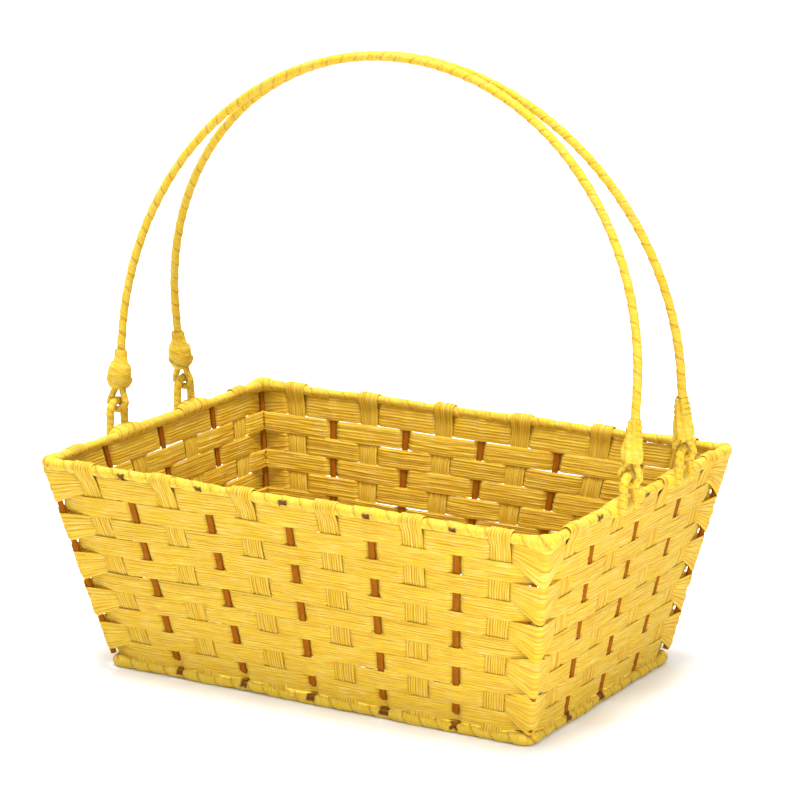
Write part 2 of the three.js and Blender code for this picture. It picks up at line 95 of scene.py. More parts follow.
KNOT_OUTLINES = {
    # height over the knot's foot and half width there, in mm
    "left": ((0.0, 4.6), (1.2, 5.7), (4.0, 6.6), (8.0, 6.8), (11.5, 6.2), (14.5, 4.8), (17.5, 3.7),
             (20.0, 3.3), (21.5, 2.9)),
    "right": ((-0.4, 5.0), (1.2, 5.5), (4.0, 5.5), (8.0, 4.9), (11.5, 4.3), (14.5, 3.9), (17.5, 3.6),
              (20.0, 3.3), (21.5, 2.9)),
}


# ---- Sizes and colours ----

def length(name, description, default):
    return bpy.props.FloatProperty(
        name=name, description=description, default=default,
        min=0.0, unit="LENGTH", subtype="DISTANCE")


def colour(name, description, default):
    return bpy.props.FloatVectorProperty(
        name=name, description=description, default=default,
        size=3, min=0.0, max=1.0, subtype="COLOR")


class BasketSizes(bpy.types.PropertyGroup):
    wire_radius: length("Frame wire radius", "Half the thickness of the frame wires", 1.6 * MM)
    weaver_width: length("Weaver width", "Width of the ribbons that go round the walls", 11.0 * MM)
    strip_width: length("Strip width", "Width of the pleated strips that go up the walls", 11.6 * MM)
    paper: length("Paper thickness", "Thickness of a folded ribbon", 0.8 * MM)
    wrap_radius: length("Winding radius", "Half the thickness of the wound rim and base", 2.75 * MM)
    handle_radius: length("Handle radius", "Half the thickness of a wound handle", 2.35 * MM)
    loop_radius: length("Loop radius", "Half the thickness of a wound rim loop", 2.25 * MM)
    eye_radius: length("Eye radius", "Half the thickness of the eye that hangs in a loop", 1.85 * MM)
    first_row: length("First row", "From the rim wire down to the first weaver", 4.4 * MM)
    last_row: length("Last row", "From the last weaver down to the base wire", 2.6 * MM)


class BasketColours(bpy.types.PropertyGroup):
    paper: colour("Paper", "Woven paper ribbon", (0.60, 0.41, 0.008))
    # Painted highlight: the pale colour of the raised fibres, where light catches the crepe.
    paper_highlight: colour("Worn paper", "Raised and worn fibres of the paper", (0.68, 0.60, 0.22))
    # Painted shade: the colour laid into the creases between the pleats, the hollows between the fibres and
    # the seams of the windings.
    paper_crease_shade: colour("Paper grooves", "Paper deep between the pleats", (0.42, 0.17, 0.003))
    winding: colour("Winding", "Paper wound on the rim, base and handles", (0.64, 0.46, 0.014))
    wire: colour("Frame wire", "Lacquered wire of the frame", (0.24, 0.07, 0.001))
    wire_edge: colour("Frame wire wear", "Worn lacquer on the wire", (0.38, 0.12, 0.003))
    floor: colour("Floor", "Plain floor under the basket", (0.92, 0.945, 0.985))


def sizes():
    return bpy.context.scene.basket_sizes


def colours():
    return bpy.context.scene.basket_colours


# ---- Materials ----

class Value:
    """A number in a material. Sums on it add Math nodes."""

    def __init__(self, finish, socket):
        self.finish = finish
        self.socket = socket

    def combine(self, operation, first, second, clamped=False):
        settings = {"operation": operation, "use_clamp": clamped}
        return self.finish.add("ShaderNodeMath", settings, {0: first, 1: second})

    def __add__(self, other):
        return self.combine("ADD", self, other)

    def __radd__(self, other):
        return self.combine("ADD", other, self)

    def __sub__(self, other):
        return self.combine("SUBTRACT", self, other)

    def __rsub__(self, other):
        return self.combine("SUBTRACT", other, self)

    def __mul__(self, other):
        return self.combine("MULTIPLY", self, other)

    def __rmul__(self, other):
        return self.combine("MULTIPLY", other, self)

    def clamp(self):
        return self.combine("ADD", self, 0.0, True)


class Finish:
    """A material whose nodes are added one call at a time."""

    def __init__(self, name, **fixed):
        self.material = bpy.data.materials.new(name)
        self.material.use_nodes = True
        self.nodes = self.material.node_tree.nodes
        self.links = self.material.node_tree.links
        self.shader = self.nodes["Principled BSDF"]
        for socket, value in fixed.items():
            self.shader.inputs[socket.replace("_", " ")].default_value = value

    def add(self, kind, settings=None, values=None, output=0):
        node = self.nodes.new(kind)
        for key, value in (settings or {}).items():
            setattr(node, key, value)
        self.join(node, values or {})
        return Value(self, node.outputs[output])

    def join(self, node, values):
        for key, value in values.items():
            socket = node.inputs[key]
            if isinstance(value, Value):
                self.links.new(value.socket, socket)
            elif socket.type == "RGBA" and len(value) == 3:
                socket.default_value = (*value, 1.0)
            else:
                socket.default_value = value

    def surface(self, **values):
        self.join(self.shader, {key.replace("_", " "): value for key, value in values.items()})
        return self.material

    def mix(self, factor, first, second):
        return self.add("ShaderNodeMix", {"data_type": "RGBA"}, {0: factor, 6: first, 7: second}, 2)

    def object_place(self):
        return self.add("ShaderNodeTexCoord", {}, {}, 3)

    def attribute(self, name):
        return self.add("ShaderNodeAttribute", {"attribute_name": name}, {}, 2)

    def stretched(self, scale):
        """The piece's own map, in metres along and across the paper, times a scale."""
        place = self.add("ShaderNodeUVMap", {"uv_map": "Paper"})
        return self.add("ShaderNodeMapping", {}, {"Vector": place, "Scale": scale})

    def noise(self, vector, scale, detail=3.0, rough=0.6):
        return self.add("ShaderNodeTexNoise", {"noise_dimensions": "3D"},
                        {"Vector": vector, "Scale": scale, "Detail": detail, "Roughness": rough})

    def bump(self, height, distance, strength=1.0):
        return self.add("ShaderNodeBump", {}, {"Height": height, "Distance": distance, "Strength": strength})


def tinted(shade, *factors):
    """A colour times one factor for all its channels, or one for each."""
    return tuple(channel * factor for channel, factor in zip(shade, factors * (3 // len(factors))))


def paper_finish(name, main, streak_length, streak_width, crease):
    """Creped paper: fibres along the ribbon, painted shade in the creases, at the seams and in the hollows
    between the fibres, and pale streaks on the raised fibres as a painted highlight.
    """
    tint = colours()
    paper = Finish(name, Specular_IOR_Level=0.35)
    fibres = paper.noise(paper.stretched((1 / streak_length, 1 / streak_width, 1.0)), 1.0, 5.0, 0.7)
    hairs = paper.noise(paper.stretched((2.2 / streak_length, 3.6 / streak_width, 1.0)), 1.0, 2.0, 0.6)
    blotch = paper.noise(paper.stretched((70.0, 140.0, 1.0)), 1.0, 3.0, 0.6)
    # Painted shade: the paper turns deeper orange in the hollows between the fibres.
    ridge = ((fibres - 0.38) * 4.2).clamp()
    body = paper.mix(ridge, tinted(main, 0.9, 0.7, 0.3), main)
    # Painted highlight: pale streaks where the fibres stand highest, in random patches.
    pale = ((hairs - 0.47) * 4.5).clamp() * ((blotch - 0.3) * 2.6).clamp()
    body = paper.mix(pale * 0.9, body, tint.paper_highlight)
    # Painted shade: darker paper in the creases and at the seams that the marks give, and in the hollows
    # between the fibres.
    shade = (paper.attribute("painted_shade") * 1.3 + (0.41 - fibres) * 1.6).clamp()
    body = paper.mix(shade, body, tint.paper_crease_shade)
    # Painted shade: the pits by the wires take the wire's brown at half its brightness.
    pit_shaded = (paper.attribute("pit_shade") * (0.7 + 0.9 * hairs)).clamp()
    body = paper.mix(pit_shaded, body, tinted(tint.wire, 0.5))
    return paper.surface(
        Base_Color=body, Roughness=(0.62 + fibres * 0.3).clamp(),
        Normal=paper.bump(fibres * 0.8 + hairs * 0.35, crease, 0.9))


def wire_finish(name):
    """Brown lacquer on steel, rubbed along its length."""
    tint = colours()
    wire = Finish(name, Specular_IOR_Level=0.06)
    place = wire.object_place()
    along = wire.add("ShaderNodeMapping", {}, {"Vector": place, "Scale": (900.0, 900.0, 110.0)})
    rub = wire.noise(along, 1.0, 4.0, 0.65)
    spots = wire.noise(place, 650.0, 2.0, 0.5)
    body = wire.mix(((rub - 0.5) * 3.0).clamp(), tint.wire, tint.wire_edge)
    body = wire.mix(((spots - 0.6) * 4.0).clamp(), body, tinted(tint.wire, 0.35))
    return wire.surface(Base_Color=body, Roughness=(0.6 + rub * 0.3).clamp(),
                        Normal=wire.bump(rub, 0.12 * MM, 0.7))


def floor_finish():
    shade = colours().floor
    floor = Finish("floor", Roughness=0.7, Specular_IOR_Level=0.2)
    grain = floor.noise(floor.object_place(), 40.0, 3.0, 0.5)
    return floor.surface(Base_Color=floor.mix(grain * 0.15, shade, tinted(shade, 0.97)))


def finish_for(kind):
    """The material of a kind of piece, made the first time it is asked for."""
    found = bpy.data.materials.get(kind)
    if found:
        return found
    if kind == "lacquered_wire":
        return wire_finish(kind)
    main = colours().winding if kind == "winding_paper" else colours().paper
    return paper_finish(kind, main, *PAPER_GRAINS[kind])


def set_on(piece, finish, node, body):
    """Gives a piece its finish and sets it on the body that it moves with."""
    piece.data.materials.append(finish_for(finish))
    if node:
        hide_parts(node)
    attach(piece, body)


# ---- Lines and waves ----

def unit(vectors):
    return vectors / np.linalg.norm(vectors, axis=-1, keepdims=True)


def turns(size):
    """Angles of the points round a winding, in one row."""
    return np.linspace(0, 2 * math.pi, size, endpoint=False)[None, :]


def arc(centre, radius, start, stop, count):
    """Points round a centre, from one angle in degrees to another."""
    turn = np.radians(np.linspace(start, stop, count))
    return np.asarray(centre) + np.asarray(radius) * np.column_stack([np.cos(turn), np.sin(turn)])


def stand(across, path, front_to_back):
    """Places in the basket, from places across and a path in a section of it."""
    level = (across, path[:, 0]) if front_to_back else (path[:, 0], across)
    return np.column_stack([*level, path[:, 1]])


def even_steps(points, spacing):
    """The same path in even steps, and the place of each step along it."""
    steps = np.linalg.norm(np.diff(points, axis=0), axis=1)
    place = np.concatenate([[0], np.cumsum(steps)])
    even = np.linspace(0, place[-1], max(8, int(place[-1] / spacing)))
    return np.column_stack([np.interp(even, place, column) for column in points.T]), even


def rounded_path(points, spacing):
    """The same path with even steps and rounded bends."""
    path, even = even_steps(points, spacing)
    for _ in range(3):
        path[1:-1] = path[:-2] * 0.25 + path[1:-1] * 0.5 + path[2:] * 0.25
    return path, even


def curve_through(points, spacing):
    """A smooth curve through points, in even steps."""
    padded = np.concatenate([points[:1] * 2 - points[1:2], points, points[-1:] * 2 - points[-2:-1]])
    curve = []
    for k in range(1, len(padded) - 2):
        p0, p1, p2, p3 = padded[k - 1:k + 3]
        steps = max(2, int(np.linalg.norm(p2 - p1) / (spacing * 0.5)))
        for t in np.arange(steps) / steps:
            curve.append(0.5 * (2 * p1 + (p2 - p0) * t + (2 * p0 - 5 * p1 + 4 * p2 - p3) * t * t
                                + (3 * p1 - p0 - 3 * p2 + p3) * t ** 3))
    return even_steps(np.array([*curve, padded[-2]]), spacing)


def eased(place, stops, values, loop=None):
    """Values at their stops, with a smooth step between neighbours."""
    stops = np.asarray(stops, float)
    values = np.asarray(values, float)
    if loop:
        stops = np.concatenate([stops[-1:] - loop, stops, stops[:1] + loop])
        values = np.concatenate([values[-1:], values, values[:1]])
    index = np.clip(np.searchsorted(stops, place, side="right") - 1, 0, len(stops) - 2)
    share = np.clip((place - stops[index]) / (stops[index + 1] - stops[index]), 0, 1)
    share = 0.5 * share + 0.5 * share * share * (3 - 2 * share)
    return values[index] + (values[index + 1] - values[index]) * share


def wander(rng, place, period, size, loop=None):
    """Smooth seeded waves along a piece, about a period apart."""
    start, span = place.min(), loop or (place.max() - place.min())
    count = max(4, round(span / period))
    knots = rng.uniform(-1, 1, count + (0 if loop else 2))
    step = (place - start) / span * count
    index = np.floor(step).astype(int)
    share = step - index
    share = share * share * (3 - 2 * share)
    here = knots[index % len(knots)]
    return size * (here + (knots[(index + 1) % len(knots)] - here) * share)


def sheet(name, points, along, around, closed, marks=None):
    """A closed body from a grid of points. Each line goes round the piece once.

    along and around give the place of each line and point on the paper, with one
    more than the grid wherever it closes on itself.
    """
    lines, size = points.shape[:2]
    rows = np.arange(lines if closed else lines - 1)
    here, there = np.meshgrid(rows, np.arange(size), indexing="ij")
    right = (there + 1) % size
    below = (here + 1) % lines
    quads = np.stack([here * size + there, below * size + there,
                      below * size + right, here * size + right], -1).reshape(-1, 4)
    corners = np.stack([
        np.stack([along[here], around[there]], -1), np.stack([along[here + 1], around[there]], -1),
        np.stack([along[here + 1], around[there + 1]], -1), np.stack([along[here], around[there + 1]], -1),
    ], 2).reshape(-1, 4, 2)
    if not closed:
        half = size // 2
        cap = np.arange(half - 1)
        first = np.stack([cap, cap + 1, size - 2 - cap, size - 1 - cap], -1)
        last = first[:, ::-1] + (lines - 1) * size
        quads = np.concatenate([quads, first, last])
        ends = [np.stack([np.full((half - 1, 4), along[0]), around[first]], -1),
                np.stack([np.full((half - 1, 4), along[-1]), around[first[:, ::-1]]], -1)]
        corners = np.concatenate([corners, *ends])
    flat = points.reshape(-1, 3)
    a, b, c, d = (flat[quads[:, k]] for k in range(4))
    volume = np.einsum("ij,ij->", a, np.cross(b, c)) + np.einsum("ij,ij->", a, np.cross(c, d))
    if volume < 0:
        quads = quads[:, ::-1]
        corners = corners[:, ::-1]
    mesh = bpy.data.meshes.new(name)
    mesh.from_pydata(flat, [], quads.tolist())
    layer = mesh.uv_layers.new(name="Paper")
    layer.data.foreach_set("uv", corners.reshape(-1).astype(np.float32))
    for key in ("painted_shade", "pit_shade"):
        values = (marks or {}).get(key)
        store = mesh.attributes.new(key, "FLOAT", "POINT")
        if values is not None:
            store.data.foreach_set("value", values.reshape(-1).astype(np.float32))
    mesh.shade_smooth()
    piece = bpy.data.objects.new(name, mesh)
    bpy.context.collection.objects.link(piece)
    return piece


def pleats(rng, width, count, depth):
    """Places across a ribbon, their height, and how much painted shade each gets for lying deep in a crease.
    """
    edges = np.cumsum(rng.uniform(0.7, 1.35, count))
    edges = edges / edges[-1]
    start = np.concatenate([[0.0], edges[:-1]])
    across, height, painted_shade = [], [], []
    for low, high in zip(start, edges):
        gap = high - low
        cut = depth * rng.uniform(0.45, 1.0)
        lift = depth * rng.uniform(-0.35, 0.35)
        tilt = depth * rng.uniform(-0.25, 0.25)
        across += [low, low + 0.2 * gap, low + 0.52 * gap, low + 0.82 * gap]
        height += [-cut, lift - tilt, lift + 0.12 * depth, lift + tilt]
        # painted shade: most at the bottom of a crease, none on the top of a pleat
        painted_shade += [min(1.0, cut / depth), 0.38, 0.0, 0.22]
    across.append(1.0)
    height.append(-0.2 * depth)
    painted_shade.append(0.3)
    painted_shade[0] = 0.3
    height[0] = -0.2 * depth
    return (np.array(across) - 0.5) * width, np.array(height), np.array(painted_shade)


def folded(name, middle, outward, relief, across, along, closed, painted_shades, slip=0.0):
    """A body of folded paper round a grid of middle points, thin at its long edges."""
    half = sizes().paper / 2 * np.sqrt(np.clip(1 - np.abs(across / across.max()) ** 6, 0.06, 1))
    front = middle + outward * (relief + half)[..., None]
    back = middle + outward * (relief - half)[..., None]
    around = np.concatenate([across, across[::-1], across[:1]]) + slip
    return sheet(name, np.concatenate([front, back[:, ::-1]], 1), along, around, closed,
                 {"painted_shade": np.concatenate([painted_shades[0], painted_shades[1][:, ::-1]], 1)})


def ribbon(name, centres, outward, sideways, half_width, lift, profile, along):
    """A folded ribbon along a line of centres, with the pleats of its profile."""
    across, height, painted_shade = profile
    stretch = (half_width / across.max())[:, None]
    relief = height * np.minimum(1.0, 1 / stretch) + lift
    middle = centres[:, None, :] + sideways[:, None, :] * (across * stretch)[..., None]
    deep = np.broadcast_to(painted_shade, relief.shape)
    return folded(name, middle, outward[:, None, :], relief, across, along, False, (deep, 0.6 * deep))


def tube(name, centres, reach, along, seam_shade, flat):
    """Winding along a line of centres, with its reach given at every line and point."""
    ahead = unit(np.gradient(centres, axis=0))
    other = unit(np.cross(ahead, np.broadcast_to(flat, ahead.shape)))
    side = np.cross(other, ahead)
    turn = turns(reach.shape[1])[..., None]
    points = centres[:, None, :] + (side[:, None, :] * np.cos(turn) + other[:, None, :] * np.sin(turn)) \
        * reach[..., None]
    around = np.linspace(0, 1, reach.shape[1] + 1) * 2 * math.pi * float(np.mean(reach))
    return sheet(name, points, along, around, False, {"painted_shade": seam_shade})


def swap_map(piece):
    """Turns the paper's grain from along a piece to round it."""
    layer = piece.data.uv_layers["Paper"].data
    values = np.zeros(len(layer) * 2, np.float32)
    layer.foreach_get("uv", values)
    values = values.reshape(-1, 2)[:, ::-1].copy()
    values[:, 1] += values[:, 0] * 0.25
    layer.foreach_set("uv", values.reshape(-1))


def wind(piece, node, body):
    """Turns the grain of a wound piece round it and sets it on its body."""
    swap_map(piece)
    set_on(piece, "winding_paper", node, body)


def winding(rng, place, size, pitch, step, crease):
    """Height of paper wound in a screw, where each turn laps over the one before, and painted shade along
    the seams where the laps meet.
    """
    wobble = wander(rng, place, pitch * 2.5, 0.18)[:, None]
    phase = place[:, None] / pitch + np.linspace(0, 1, size, endpoint=False)[None, :] + wobble
    share = phase - np.floor(phase)
    lap = step * (1 - share) + step * 0.9 * np.clip((share - 0.88) / 0.12, 0, 1)
    fine = crease * np.sin(2 * math.pi * (phase * 5.0 + wander(rng, place, pitch * 0.6, 0.35)[:, None]))
    return lap + fine, np.clip(1 - np.abs(share - 0.9) / 0.09, 0, 1)


def dents(rng, place, size, period, depth, waves, loop=None):
    """Slow hollows round a winding, which change along it."""
    return sum(wander(rng, place, period, depth, loop)[:, None]
               * np.cos(turns(size) * wave + rng.uniform(0, 6)) for wave in waves)


def fine_winding(rng, place, size, radius, pitch, step):
    """Reach of the narrow paper wound on handles and loops, and painted shade along its seams."""
    lap, seam_shade = winding(rng, place, size, pitch, step, step * 0.18)
    uneven = dents(rng, place, size, pitch * 1.3, 0.05 * MM, (2, 3))
    swell = wander(rng, place, pitch * 2.2, 0.09 * MM)[:, None]
    return radius - step * 0.6 + lap + uneven + swell, seam_shade


# ---- Places on the frame ----

def level_sizes(level):
    """Half the length, half the width and the height of the walls at a level."""
    rim_low, rim_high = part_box("rim_wire")
    base_low, base_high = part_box("base_wire")
    wire = sizes().wire_radius
    length_half = base_high.x - wire + (rim_high.x - base_high.x) * level
    width_half = base_high.y - wire + (rim_high.y - base_high.y) * level
    base_z = (base_low.z + base_high.z) / 2
    rim_z = (rim_low.z + rim_high.z) / 2
    return length_half, width_half, base_z + (rim_z - base_z) * level


def wall_height():
    return level_sizes(1.0)[2] - level_sizes(0.0)[2]


def row_pitch():
    return (wall_height() - sizes().first_row - sizes().last_row) / ROW_COUNT


def floor_height():
    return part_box("long_wire_3")[0].z + sizes().wire_radius * 0.87


def wall_section(axis):
    """A wall in section: its rim end, its base end, the way down and its length."""
    rim, base = (np.array([level_sizes(level)[axis], level_sizes(level)[2]]) for level in (1.0, 0.0))
    return rim, base, unit(base - rim), np.linalg.norm(base - rim)


def hinge(side, end):
    """The middle of the arch that a handle's eye hangs from."""
    low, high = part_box(f"{side}_{end}_loop")
    loop_half = 2 * MM
    return np.array([(low.x + high.x) / 2, (low.y + high.y) / 2, high.z - loop_half - ARCH])


class WallLoop:
    """Stations round the four walls, which any level can place."""

    def __init__(self, level, spacing, corner):
        a, b, _ = level_sizes(level)
        stations = []
        place = 0.0
        self.crossings, self.corners = [], []
        for run, outward, steps, side in WALLS:
            half = a if run[0] else b
            straight = 2 * (half - corner)
            count = max(8, round(straight / spacing))
            for k in range(count):
                t = -straight / 2 + straight * k / count
                stations.append((place + t + straight / 2, *run, *outward, t / half, 0.0, 0.0, *outward,
                                 run[0] != 0))
            fills = 1 if outward[0] - outward[1] > 0 else -1
            for step in range(1, steps):
                t = (2 * step / steps - 1) * half
                kind = "strip" if step % 2 else "wire"
                self.crossings.append((place + t + straight / 2, kind, side, fills))
            place += straight
            bend = corner * math.pi / 2
            count = max(5, round(bend / spacing * 1.6))
            for k in range(count):
                turn = math.pi / 2 * k / count
                ahead, aside = math.sin(turn), math.cos(turn)
                normal = (outward[0] * aside + run[0] * ahead, outward[1] * aside + run[1] * ahead)
                stations.append((place + bend * k / count, *run, *outward, 1.0, corner * (ahead - 1),
                                 corner * (aside - 1), *normal, run[0] != 0))
            self.corners.append(place + bend / 2)
            place += bend
        data = np.array(stations)
        self.place, self.length = data[:, 0], place
        self.run, self.out = data[:, 1:3], data[:, 3:5]
        self.share, self.add_run, self.add_out = data[:, 5], data[:, 6], data[:, 7]
        self.normal = np.column_stack([data[:, 8:10], np.zeros(len(data))])
        self.long_side = data[:, 10] > 0.5
        self.along = np.append(self.place, self.length)

    def gap(self, mark):
        """How far every station lies from a place on the loop, by the shorter way."""
        one_way = np.abs(self.place - mark)
        return np.minimum(one_way, self.length - one_way)

    def near_corner(self, reach):
        """1 at the corners, down to 0 at a reach from them."""
        return np.clip(1 - np.min([self.gap(corner) for corner in self.corners], 0) / reach, 0, 1)

    def points(self, level):
        """Places on the walls' middle, for an array of levels by station and column."""
        a, b, z = level_sizes(level)
        half = np.where(self.long_side[:, None], a, b)
        depth = np.where(self.long_side[:, None], b, a)
        flat = (self.run[:, None, :] * (self.share[:, None] * half + self.add_run[:, None])[..., None]
                + self.out[:, None, :] * (depth + self.add_out[:, None])[..., None])
        return np.concatenate([flat, z[..., None]], -1)


# ---- Weavers ----

def weave_stops(loop, row_side):
    """Where a weaver passes out and in along the walls, and how far.

    It lies flat on the side of the wall that its row fills, and dips only
    where a strip or a wire crosses over it.
    """
    marks = sorted(loop.crossings + [(place, "corner", 1, 1) for place in loop.corners])
    flat, outermost = 0.85 * MM, 2.05 * MM
    stops, offsets = [], []
    for place, kind, side, fills in marks:
        if kind == "corner":
            reach = (1.2 if row_side > 0 else 2.5) * MM
            stops += [place - reach, place + reach]
            offsets += [row_side * outermost] * 2
            continue
        sign = row_side * side * (-1 if kind == "strip" else 1)
        reach, depth, rest = (value * MM for value in CROSSINGS[kind, sign == fills])
        stops += [place - rest, place - reach, place + reach, place + rest]
        offsets += [fills * flat, sign * depth, sign * depth, fills * flat]
    return stops, offsets


def row_sag(loop, centre, row):
    """How far a row hangs down at the left of the front wall."""
    x = loop.points(np.full((len(loop.place), 1), centre))[:, 0, 0]
    left = np.clip(0.75 - (x / level_sizes(1.0)[0] + 1), 0, 1)
    on_front = loop.normal[:, 1] < -0.5
    return np.where(on_front, left, 0.0) * 5.5 * MM * math.sin(math.pi * (row + 1) / (ROW_COUNT + 1)) ** 0.8


def weaver(row):
    """One ribbon that runs round the four walls, in and out of strips and wires."""
    size = sizes()
    rng = np.random.default_rng(100 + row)
    height, pitch = wall_height(), row_pitch()
    centre = 1 - (size.first_row + pitch * (row + 0.5)) / height
    row_side = 1 if row % 2 == 0 else -1
    loop = WallLoop(centre, 1.6 * MM, 0.2 * MM if row_side > 0 else 2.2 * MM)
    place, span = loop.place, loop.length
    offset = eased(place, *weave_stops(loop, row_side), span)
    fan = sum(spread * np.clip(1 - loop.gap(corner) / (17 * MM), 0, 1) ** 1.1
              for corner, spread in zip(loop.corners, CORNER_FANS))
    if row_side > 0:
        width, dip = 1 + fan, -0.5 * size.weaver_width * fan
    else:
        width, dip = 1 - 0.12 * np.clip(fan, 0, 1), 0.05 * pitch * fan
    if row == 0:
        # the top row reaches up to the rim
        width, dip = width * 1.16, dip + 0.9 * MM
    crush = loop.near_corner(6 * MM)
    width = width + wander(rng, place, 14 * MM, 0.025, span)
    dip = dip - row_sag(loop, centre, row) + wander(rng, place, 40 * MM, 0.35 * MM, span)
    offset = offset + wander(rng, place, 9 * MM, 0.12 * MM, span)
    width = width + wander(rng, place, 4 * MM, 0.07, span) * crush
    offset = offset + wander(rng, place, 3 * MM, 0.35 * MM, span) * crush
    across, relief, painted_shade = pleats(rng, size.weaver_width, PLEATS, 0.24 * MM)
    stretch = size.weaver_width / 2 * width / across.max()
    slope = math.cos(math.atan2(level_sizes(1.0)[1] - level_sizes(0.0)[1], height))
    level = centre + (dip[:, None] + across * stretch[:, None] * slope) / height
    lift = sum((wander(rng, place, 17 * MM, 0.11 * MM, span)
                + wander(rng, place, 3 * MM, 0.3 * MM, span) * crush)[:, None]
               * np.cos(math.pi * (across / across.max() * wave + rng.uniform(0, 1)))
               for wave in (1.0, 2.3, 3.7))
    deep = np.broadcast_to(painted_shade * 0.7, level.shape)
    piece = folded(f"weaver_{row + 1:02d}", loop.points(level), loop.normal[:, None, :],
                   relief + lift + offset[:, None], across, loop.along, True, (deep, deep), 0.05 * row)
    set_on(piece, "weaver_paper", f"weaver_row_{row + 1:02d}", "basket")


# ---- Strips ----

def strip_side(axis, folds_out):
    """One side of a strip in section, from its tail in or out of the rim, over the
    rim, down the wall and under the base."""
    size = sizes()
    rim, base, down, wall = wall_section(axis)
    over = size.wrap_radius + size.paper * 0.9
    under = 2.3 * MM
    clear = 8.5 * MM
    side = 1 if folds_out else -1
    run = rim + down * np.linspace(clear, wall - clear, 62)[:, None]
    return np.concatenate([arc(rim, (side * over, over), 205, -12, 24), run, arc(base, under, 22, -112, 15)])


def row_wave(height, side):
    """How far a strip leans out at a height, in the opposite rows to the weavers."""
    row = (level_sizes(1.0)[2] - sizes().first_row - height) / row_pitch()
    inside = np.clip(row / 0.5, 0, 1) * np.clip((ROW_COUNT - row) / 0.5, 0, 1)
    return side * 0.38 * MM * np.cos(math.pi * (row - 0.5)) * inside


def wall_strip(name, node, seed, along_share, front_to_back, floor_line, sides):
    """A pleated strip down one wall, across the base and up the other."""
    size = sizes()
    rng = np.random.default_rng(seed)
    axis = 1 if front_to_back else 0
    first, second = (strip_side(axis, side > 0) for side in sides)
    path = np.concatenate([first * (-1, 1), floor_line, second[::-1]])
    path, place = rounded_path(path, 1.55 * MM)
    base_z = level_sizes(0.0)[2]
    level = np.clip((path[:, 1] - base_z) / wall_height(), 0, 1)
    share = along_share * level_sizes(level)[1 - axis]
    ahead = unit(np.gradient(path, axis=0))
    normal = np.column_stack([ahead[:, 1], -ahead[:, 0]])
    wave = row_wave(path[:, 1], np.where(path[:, 0] < 0, *sides))
    wave = np.where(path[:, 1] > base_z + 4 * MM, wave, 0.0) * np.sign(path[:, 0]) * np.sign(normal[:, 0])
    path = path + normal * wave[:, None]
    drift = wander(rng, place, 30 * MM, 0.25 * MM)
    profile = pleats(rng, size.strip_width, PLEATS, 0.55 * MM)
    over_rim = np.clip((level - 0.955) / 0.04, 0, 1)
    half_width = size.strip_width / 2 * (1 + 0.1 * over_rim) + wander(rng, place, 9 * MM, 0.16 * MM)
    lift = sum(wander(rng, place, 12 * MM, 0.07 * MM)[:, None]
               * np.cos(math.pi * (profile[0] / profile[0].max() * fold + rng.uniform(0, 2)))
               for fold in (2.0, 4.5))
    centres = stand(share + drift, path, front_to_back)
    outward = stand(np.zeros(len(path)), normal, front_to_back)
    sideways = stand(np.ones(len(path)), np.zeros_like(path), front_to_back)
    piece = ribbon(name, centres, outward, sideways, half_width, lift, profile, place)
    set_on(piece, "strip_paper", node, "basket")


def floor_weave(side):
    """The line of a piece woven along the base: over strips and under wires, or not."""
    half = level_sizes(0.0)[0]
    stops, values = [], []
    for step in range(1, LONG_STEPS):
        place = (2 * step / LONG_STEPS - 1) * half
        depth, reach = (1.15, 4.4) if step % 2 else (-1.75, 0.9)
        stops += [place - reach * MM, place + reach * MM]
        values += [depth * MM * side] * 2
    along = np.linspace(-half + 12 * MM, half - 12 * MM, 150)
    return np.column_stack([along, floor_height() + eased(along, stops, values)])


def long_strip(number):
    share = 2 * (number * 2 - 1) / LONG_STEPS - 1
    half = level_sizes(0.0)[1] - 14 * MM
    line = np.column_stack([np.linspace(-half, half, 30), np.full(30, floor_height())])
    wall_strip(f"long_strip_paper_{number}", f"long_strip_{number}", 200 + number, share, True,
               line, (1, -1))


def end_strip(number):
    share = 2 * (number * 2 - 1) / END_STEPS - 1
    wall_strip(f"end_strip_paper_{number}", f"end_strip_{number}", 220 + number, share, False,
               floor_weave(-1), (1, 1))


def base_ribbon(number):
    """A ribbon along the base, over the strips and under the wires."""
    low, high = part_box(f"base_ribbon_{number}")
    rng = np.random.default_rng(240 + number)
    line = floor_weave(1)
    start = np.column_stack([np.linspace(low.x, line[0, 0] - 2 * MM, 6), np.full(6, floor_height())])
    path, place = rounded_path(np.concatenate([start, line, start[::-1] * (-1, 1)]), 1.7 * MM)
    ahead = unit(np.gradient(path, axis=0))
    none = np.zeros(len(path))
    outward = stand(none, ahead[:, ::-1] * (-1, 1), False)
    sideways = stand(none + 1, np.zeros_like(path), False)
    drift = wander(rng, place, 35 * MM, 0.3 * MM)
    profile = pleats(rng, high.y - low.y - 0.4 * MM, 7, 0.2 * MM)
    half_width = profile[0].max() + wander(rng, place, 12 * MM, 0.2 * MM)
    piece = ribbon(f"base_ribbon_paper_{number}", stand((low.y + high.y) / 2 + drift, path, False),
                   outward, sideways, half_width, none[:, None], profile, place)
    set_on(piece, "weaver_paper", f"base_ribbon_{number}", "basket")


# ---- Wound rim and base ----

